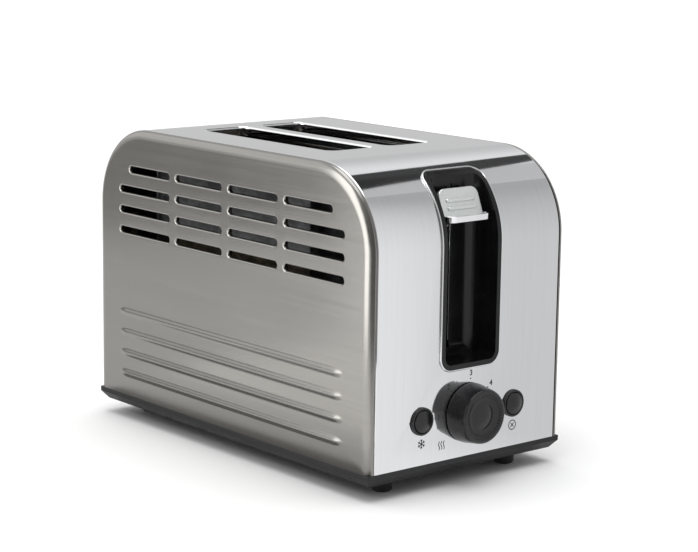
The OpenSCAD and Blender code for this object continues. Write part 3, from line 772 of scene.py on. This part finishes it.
def make_knob():
    """Tapered body, round rim, a ring of grip ribs and a domed centre."""
    bm = bmesh.new()
    lo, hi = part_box("browning_knob")
    base = FRONT_Y - hi.y
    tip = FRONT_Y - lo.y
    face = KNOB_R - 1.7 * MM
    bore = 3.1 * MM
    heel = 0.5 * MM
    rim = 1.7 * MM
    profile = [(bore, tip - 5 * MM), (bore, base), (KNOB_R - heel, base)]
    profile += arc(KNOB_R - heel, base + heel, heel, -90, 0, 4)[1:]
    profile += [(KNOB_R, 3 * MM), (face + 0.2 * MM, tip - 1.9 * MM)]
    profile += arc(face - 1.6 * MM, tip - rim, rim, 5, 100, 10)
    first_rib = len(profile)
    profile += [(face - inward * MM, tip - depth * MM)
                for inward, depth in ((2.3, 0.4), (2.8, 1.05), (3.8, 1.4), (5, 1.9), (5.7, 2.4))]
    last_rib = len(profile) - 2
    crown = tip - 0.15 * MM
    profile += [(KNOB_DOME_R + 0.3 * MM, tip - 2.5 * MM),
                (KNOB_DOME_R, crown - sagitta(KNOB_DOME_SPHERE, KNOB_DOME_R))]
    profile += cap_profile(crown, KNOB_DOME_SPHERE, KNOB_DOME_R, 9)

    # Height of a rib at each of the points across it
    section = (0, 0.5, 1, 1, 0.5, 0)

    def grip(index, k):
        return KNOB_RIB_H * section[k % len(section)] if first_rib < index < last_rib else 0

    rings = lathe_y(bm, 0, profile, KNOB_RIBS * len(section), grip)
    bm.faces.new(rings[-1])
    bm.faces.new(rings[0])
    weigh_normals(new_piece("dial_knob", bm, "knob_black", "dial", ["browning_knob"]))


def make_button(name, x, body):
    """A domed cap with a rounded shoulder, a collar behind its ring and a stem."""
    bm = bmesh.new()
    lo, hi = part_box(name)
    tip = FRONT_Y - lo.y
    stem = FRONT_Y - hi.y
    flat = CAP_R - CAP_SHOULDER
    profile = [(2 * MM, stem), (2 * MM, -6.9 * MM), (COLLAR_R, -6.9 * MM), (COLLAR_R, -5.4 * MM),
               (CAP_R, -5.4 * MM)]
    shoulder_out = tip - sagitta(CAP_SPHERE, flat) - 0.55 * MM
    profile += arc(flat, shoulder_out, CAP_SHOULDER, 0, 64, 5)
    profile += cap_profile(tip, CAP_SPHERE, flat, 12)
    rings = lathe_y(bm, x, profile, 72)
    bm.faces.new(rings[0])
    bm.faces.new(rings[-1])
    cap = name.replace("_button", "_cap")
    weigh_normals(new_piece(cap, bm, "knob_black", body, [name]))


def make_rings():
    """The two moulded rings round the buttons, with rounded fronts."""
    bm = bmesh.new()
    outer, inner = 0.6 * MM, 0.35 * MM
    for x in (-BUTTON_X, BUTTON_X):
        profile = [(COLLAR_R, -5 * MM), (COLLAR_R, 0), (RING_R, 0)]
        profile += arc(RING_R - outer, 0.8 * MM, outer, 0, 90, 5)
        profile += arc(RING_BORE_R + inner, 1.05 * MM, inner, 90, 180, 4)
        profile += [(RING_BORE_R, -5 * MM)]
        rings = lathe_y(bm, x, profile, 72)
        join_loops(bm, rings[-1], rings[0])
    weigh_normals(new_piece("button_surrounds", bm, "knob_black", "housing", ["button_rings"]))


def in_place(x, y, z):
    return (x, y, z)


def make_lever():
    """The silver push plate with two fine ridges, its ledge and its stem, and the chrome strip."""
    lo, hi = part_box("lever_paddle")
    strip_lo, strip_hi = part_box("lever_strip")
    foot_y = FRONT_Y + 8 * MM
    ledge_top = 3.4 * MM
    shelf_z = strip_lo.z + ledge_top
    lean = 6.5 * MM
    rise = hi.z - shelf_z
    length = math.hypot(lean, rise)
    slope = Vector((0, lean / length, rise / length))
    outward = Vector((0, -rise / length, lean / length))
    root = Vector((0, foot_y, shelf_z))
    half = hi.x
    bm = bmesh.new()

    def on_plate(a, b, height):
        return root + Vector((a, 0, 0)) + slope * b + outward * height

    def plate_shape(inset):
        bottom = -2 * MM + inset
        corner = 5 * MM - inset
        top = length - 0.9 * MM - inset
        side = half - inset
        points = [(-side, bottom), (side, bottom)]
        for sign, start in ((1, 0), (-1, 90)):
            points += arc(sign * (side - corner), top - corner, corner, start, start + 90, 8)
        return points

    def u_path(inset):
        """Round the ledge's front, from one side to the other."""
        back = foot_y + 1 * MM
        side, corner, near = strip_hi.x - inset, 5.5 * MM - inset, strip_lo.y + inset
        points = [(-side, back)]
        for sign, start in ((-1, 180), (1, 270)):
            points += arc(sign * (side - corner), near + corner, corner, start, start + 90, 10)
        return points + [(side, back)]

    strip_t = 1.1 * MM

    def ledge_shape(inset):
        back = foot_y + 2 * MM
        return u_path(strip_t + inset) + [(half - inset, back), (-half + inset, back)]

    plate_t, ridge_half, ridge_r = 2.5 * MM, 10.2 * MM, 1.15 * MM
    slab(bm, plate_shape, -plate_t, 0, 0.6 * MM, on_plate)
    for ridge_z in (7.2 * MM, 11.7 * MM):
        b = (ridge_z - ledge_top) * length / rise

        def ridge_shape(inset, b=b):
            return [(p, b + q) for p, q in stadium(ridge_half, ridge_r - inset)]

        slab(bm, ridge_shape, -0.6 * MM, 1.05 * MM, 1.0 * MM, on_plate, 6)
    slab(bm, ledge_shape, lo.z + 0.4 * MM, shelf_z, 0.2 * MM, in_place)
    behind = foot_y + 4.6 * MM
    stem_half = 1.5 * MM
    stem = [(-stem_half, behind), (stem_half, behind), (stem_half, hi.y), (-stem_half, hi.y)]
    slab(bm, lambda inset: stem, strip_lo.z + 2.5 * MM, strip_lo.z + 10 * MM, 0.0, in_place)
    weigh_normals(new_piece("push_plate", bm, "lever_silver", "carriage", ["lever_paddle"]))

    # The strip: a flat bar with rounded edges, bent round the ledge
    bm = bmesh.new()
    edge = 0.4 * MM
    section = []
    for off, z, start in ((edge, strip_hi.z - edge, 90), (edge, strip_lo.z + edge, 180),
                          (strip_t - edge, strip_lo.z + edge, 270),
                          (strip_t - edge, strip_hi.z - edge, 0)):
        section += arc(off, z, edge, start, start + 90, 4)
    columns = [[bm.verts.new((x, y, z)) for x, y in u_path(off)] for off, z in section]
    for k, column in enumerate(columns):
        join_loops(bm, column, columns[(k + 1) % len(columns)], closed=False)
    for end in (0, -1):
        bm.faces.new([column[end] for column in columns])
    weigh_normals(new_piece("chrome_strip", bm, "lever_chrome", "carriage", ["lever_strip"]))


def make_channel_guides():
    """Two fine ribs beside the slot for the lever's stem, on the back wall of the channel, in
    bright chrome as a painted highlight: two light lines on the black channel.
    """
    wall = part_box("lever_bezel")[1].y - 1.6 * MM
    guide_x, guide_z, guide_half, guide_r = 3.1 * MM, 128 * MM, 44 * MM, 1.1 * MM
    bm = bmesh.new()

    def guide_shape(inset):
        return [(b, a) for a, b in stadium(guide_half, guide_r - inset)]

    for x in (-guide_x, guide_x):
        slab(bm, guide_shape, -0.3 * MM, 1.2 * MM, 1 * MM,
             lambda a, b, height, x=x: (x + a, wall - height, guide_z + b))
    weigh_normals(new_piece("channel_guides", bm, "rod", "housing", finish=GUIDE_HIGHLIGHT_CHROME))


make_lever()
make_channel_guides()
make_knob()
make_button("defrost_button", -BUTTON_X, "defrost_key")
make_button("cancel_button", BUTTON_X, "cancel_key")
make_rings()


# ---------------------------------------------------------------- printed marks

INK_LIFT = 0.03 * MM
INK_LINE = 0.6 * MM
SIGN_R = 2.9 * MM
DIGIT_H = 3.4 * MM
DOT_CIRCLE_R = 20.4 * MM
DIGIT_CIRCLE_R = 23.8 * MM
# Degrees clockwise from the top, for the numbers from 1 up
DIAL_TURNS = (-90, -43, 4, 50, 97, 144)


def print_mesh(name, bm):
    new_piece(name, bm, "casing_black", "housing", finish=INK, smooth=False)


def on_front(a, b):
    return (a, FRONT_Y - INK_LIFT, b)


def ink_strip(bm, points, width):
    """A flat printed line through 2-D points, joined at its corners."""
    half = width / 2
    sides = []
    for k, (a, b) in enumerate(points):
        before = points[max(k - 1, 0)]
        after = points[min(k + 1, len(points) - 1)]
        da, db = after[0] - before[0], after[1] - before[1]
        length = math.hypot(da, db)
        na, nb = -db / length * half, da / length * half
        sides.append((on_front(a + na, b + nb), on_front(a - na, b - nb)))
    for (p, q), (r, s) in zip(sides, sides[1:]):
        bm.faces.new([bm.verts.new(v) for v in (p, q, s, r)])


def ink_digit(bm, digit, a, b, height):
    """A dial number from the font that comes with Blender, centred on (a, b)."""
    curve = bpy.data.curves.new("digit", "FONT")
    curve.body = digit
    curve.align_x = "CENTER"
    curve.align_y = "CENTER"
    curve.size = height * 1.4
    curve.offset = height * 0.035
    holder = bpy.data.objects.new("digit", curve)
    mesh = holder.to_mesh()
    verts = [bm.verts.new(on_front(a + v.co.x, b + v.co.y)) for v in mesh.vertices]
    for polygon in mesh.polygons:
        bm.faces.new([verts[k] for k in polygon.vertices])
    holder.to_mesh_clear()
    bpy.data.objects.remove(holder)


def make_dial_marks():
    """A dot and a number for each browning level, round the knob."""
    bm = bmesh.new()
    for number, turn in enumerate(DIAL_TURNS, 1):
        s, c = math.sin(math.radians(turn)), math.cos(math.radians(turn))
        dot = circle(s * DOT_CIRCLE_R, CONTROL_Z + c * DOT_CIRCLE_R, 0.45 * MM, 20)
        bm.faces.new([bm.verts.new(on_front(a, b)) for a, b in dot])
        ink_digit(bm, str(number), s * DIGIT_CIRCLE_R, CONTROL_Z + c * DIGIT_CIRCLE_R, DIGIT_H)
    print_mesh("dial_marks", bm)


def make_control_signs():
    """Generic signs: frost and stop under the buttons, warm up at the dial's low end."""
    bm = bmesh.new()
    sign_z = CONTROL_Z - 13.6 * MM

    def spoke(a, b, near, far, turn):
        """The two ends of a line that leaves (a, b) in the direction turn."""
        return [(a + reach * math.cos(turn), b + reach * math.sin(turn)) for reach in (near, far)]

    a = -BUTTON_X
    for k in range(6):
        turn = math.pi / 3 * k + math.pi / 6
        root, tip = spoke(a, sign_z, 0.55 * SIGN_R, SIGN_R, turn)
        ink_strip(bm, [(a, sign_z), tip], INK_LINE)
        for bend in (-0.8, 0.8):
            ink_strip(bm, spoke(*root, 0, 0.4 * SIGN_R, turn + bend), INK_LINE * 0.8)

    a = BUTTON_X
    ring = circle(a, sign_z, SIGN_R, 36)
    ink_strip(bm, ring + ring[:1], INK_LINE)
    arm = 0.45 * SIGN_R
    for sign in (-1, 1):
        ink_strip(bm, [(a - arm, sign_z - arm * sign), (a + arm, sign_z + arm * sign)], INK_LINE)

    a, b = -21 * MM, CONTROL_Z - 17 * MM
    for column in (-1.9 * MM, 0, 1.9 * MM):
        wave = [(a + column + 0.45 * MM * math.sin(j * 0.9), b + (j - 4) * 0.65 * MM)
                for j in range(9)]
        ink_strip(bm, wave, INK_LINE)
    print_mesh("control_signs", bm)


make_dial_marks()
make_control_signs()


# ---------------------------------------------------------------- rounded CAD edges

# Radius in millimetres and segments of the rounded edges of each node
SOFTEN = {
    "base_tray": (0.7, 3), "lever_bezel": (0.45, 3), "cord_gland": (0.4, 3),
    "contact_block": (0.4, 2), "feet": (0.3, 2), "armature_plate": (0.3, 2),
    "carriage_bracket": (0.25, 2), "crumb_tray": (0.2, 2), "rear_panel": (0.2, 2),
    "chassis_front": (0.2, 2), "chassis_rear": (0.2, 2), "base_screws": (0.15, 2),
    "left_bread_rack": (0.15, 2), "right_bread_rack": (0.15, 2),
}
for name, (width, segments) in SOFTEN.items():
    soften(name, width * MM, segments)


# ---------------------------------------------------------------- stage and light

def make_floor():
    """A wide sheet of white paper."""
    f = Finish("floor_paper", (0.9, 0.9, 0.9), 0.0, 0.9, Specular_IOR_Level=0.0)
    tooth = f.noise((1, 1, 1), 700, 3)
    f.put(f.shader, {"Base Color": f.shade(tooth, (0.885, 0.885, 0.885), (0.905, 0.905, 0.905))})
    bm = bmesh.new()
    bmesh.ops.create_grid(bm, x_segments=8, y_segments=8, size=6)
    floor = link_mesh("floor", bm, f.bumps((tooth, 0.05, 0.0002)))


def make_key(place, target, side, power):
    """A square area light aimed at target."""
    data = bpy.data.lights.new("key", "AREA")
    data.shape = "SQUARE"
    data.size = side
    data.energy = power
    facing = (Vector(target) - Vector(place)).to_track_quat("-Z", "Y").to_matrix().to_4x4()
    link_object("key", data).matrix_world = Matrix.Translation(place) @ facing


# The dark gap of the studio lies between two lines, each (slope, offset) in
# y = slope * (x - GAP_X) + offset, where x and y are those of a direction of length 1
GAP_X = 0.641
GAP_LOWER = (4.06, -0.083)
GAP_UPPER = (1.1, 0.299)
GAP_BLUR = 0.012


def make_world():
    """A pale studio, bright to the right, dimmer behind the left rear and behind the camera.

    High up there is a dark gap between two soft boxes, which the bend of the wrap reflects.
    """
    world = bpy.data.worlds.new("studio")
    bpy.context.scene.world = world
    world.use_nodes = True
    g = Graph(world.node_tree)
    x, y, z = g.add("SeparateXYZ", {0: g.add("TexCoord", {}).outputs["Generated"]}).outputs

    def facing(azimuth, start, stop):
        """0 to 1 as a direction turns towards azimuth."""
        turn = math.radians(azimuth)
        along = g.math("ADD", g.math("MULTIPLY", x, math.cos(turn)),
                       g.math("MULTIPLY", y, math.sin(turn)))
        return g.step(along, start, stop)

    def line(slope, offset):
        return g.math("MULTIPLY_ADD", x, slope, offset - slope * GAP_X)

    def dimmed(light, where, amount):
        return g.math("MULTIPLY", light, g.math("MULTIPLY_ADD", where, -amount, 1.0))

    light = g.math("MULTIPLY_ADD", facing(50, 0.7, 0.97), -0.36, 1.0)
    light = dimmed(light, facing(230, 0.1, 0.8), 0.8)
    in_front = g.math("SUBTRACT", 1.0, g.step(y, 0.1, 0.2))
    light = dimmed(light, g.math("MULTIPLY", g.step(z, 0.15, 0.8), in_front), 0.36)
    above = g.step(g.math("SUBTRACT", y, line(*GAP_LOWER)), -GAP_BLUR, GAP_BLUR)
    below = g.step(g.math("SUBTRACT", line(*GAP_UPPER), y), -GAP_BLUR, GAP_BLUR)
    ends = g.math("MULTIPLY", g.step(z, 0.52, 0.56), g.step(x, 0.45, 0.5))
    light = dimmed(light, g.math("MULTIPLY", g.math("MULTIPLY", above, below), ends), 0.93)

    # The backdrop itself is plain
    seen = g.add("LightPath", {}).outputs["Is Camera Ray"]
    plain = g.math("MULTIPLY_ADD", seen, g.math("SUBTRACT", 0.98, light), light)
    g.put(g.tree.nodes["Background"], {"Color": plain, "Strength": 1.0})


def glowing(name, color, strength=None):
    """An emission material. strength(graph), if given, makes the socket that it glows by."""
    mat = bpy.data.materials.new(name)
    mat.use_nodes = True
    g = Graph(mat.node_tree)
    glow = g.add("Emission", {"Color": color, "Strength": 1.0})
    g.put(g.tree.nodes["Material Output"], {"Surface": glow.outputs[0]})
    if strength:
        g.put(glow, {"Strength": strength(g)})
    return mat


def stage_mesh(name, bm, mat):
    """A studio object that shows only in reflections."""
    card = link_mesh(name, bm, mat)
    card.visible_camera = card.visible_shadow = card.visible_diffuse = False


def make_card(name, start, stop, radius, low, high, color):
    """A card on an arc round the object, between two azimuths in degrees."""
    bm = bmesh.new()
    rows = [[bm.verts.new((x, y, z)) for z in (low, high)]
            for x, y in arc(0, 0, radius, start, stop, 24)]
    for a, b in zip(rows, rows[1:]):
        bm.faces.new((a[0], b[0], b[1], a[1]))
    stage_mesh(name, bm, glowing(name, color))


def make_patch(name, low, high, z, color):
    """A level patch on the table, from corner low to corner high."""
    bm = bmesh.new()
    (x0, y0), (x1, y1) = low, high
    corners = ((x0, y0), (x1, y0), (x1, y1), (x0, y1))
    bm.faces.new([bm.verts.new((x, y, z)) for x, y in corners])
    stage_mesh(name, bm, glowing(name, color))


def make_sheet_card():
    """A large white sheet in front with a flap on the table, dimming to the right and upwards."""

    def strength(g):
        x, _, z = g.add("SeparateXYZ", {0: g.add("TexCoord", {}).outputs["Object"]}).outputs
        level = g.math("MULTIPLY_ADD", g.step(x, -0.02, 0.11), -0.27, 1.06)
        rise = g.math("MULTIPLY_ADD", g.step(z, 0.09, 0.33), -0.34, 1.0)
        return g.math("MULTIPLY", level, rise)

    bm = bmesh.new()
    sheet_y, top_z, table_z, flap_y = -0.21, 0.42, 0.003, -0.142
    left, right = -0.07, 0.7
    for far, near in (((sheet_y, top_z), (sheet_y, table_z)),
                      ((sheet_y, table_z), (flap_y, table_z))):
        bm.faces.new([bm.verts.new(p) for p in (
            (left, *near), (right, *near), (right, *far), (left, *far))])
    stage_mesh("sheet_card", bm, glowing("sheet_card", (1, 1, 1), strength))


def make_sun(strength):
    """Soft light from straight above."""
    data = bpy.data.lights.new("overhead", "SUN")
    data.energy = strength
    data.angle = 1.0
    link_object("overhead", data)


# Cards and patches stand in for the surroundings that the polished steel shows in the photograph
make_floor()
make_world()
make_card("dark_card", 205, 284, 0.5, 0.0, 0.9, (0.27, 0.262, 0.25))
make_card("dim_card", 98, 148, 0.9, 0.0, 0.18, (0.56, 0.55, 0.535))
make_card("soft_box", 100, 160, 1.0, 0.34, 1.2, (1.55, 1.55, 1.52))
make_patch("shade_patch", (-0.112, -0.17), (-0.083, 0.17), 0.002, (0.3, 0.294, 0.285))
make_patch("light_patch", (-0.46, -0.25), (-0.17, 0.2), 0.003, (1.75, 1.74, 1.7))
make_card("bright_card", 154, 190, 0.5, 0.0, 0.6, (4.6, 4.6, 4.5))
make_sheet_card()
make_sun(1.9)
make_key((-1.6, -0.9, 1.5), (0, 0, 0.1), 0.9, 6)
bpy.context.scene.view_settings.view_transform = "Standard"
bpy.context.scene.view_settings.look = "None"
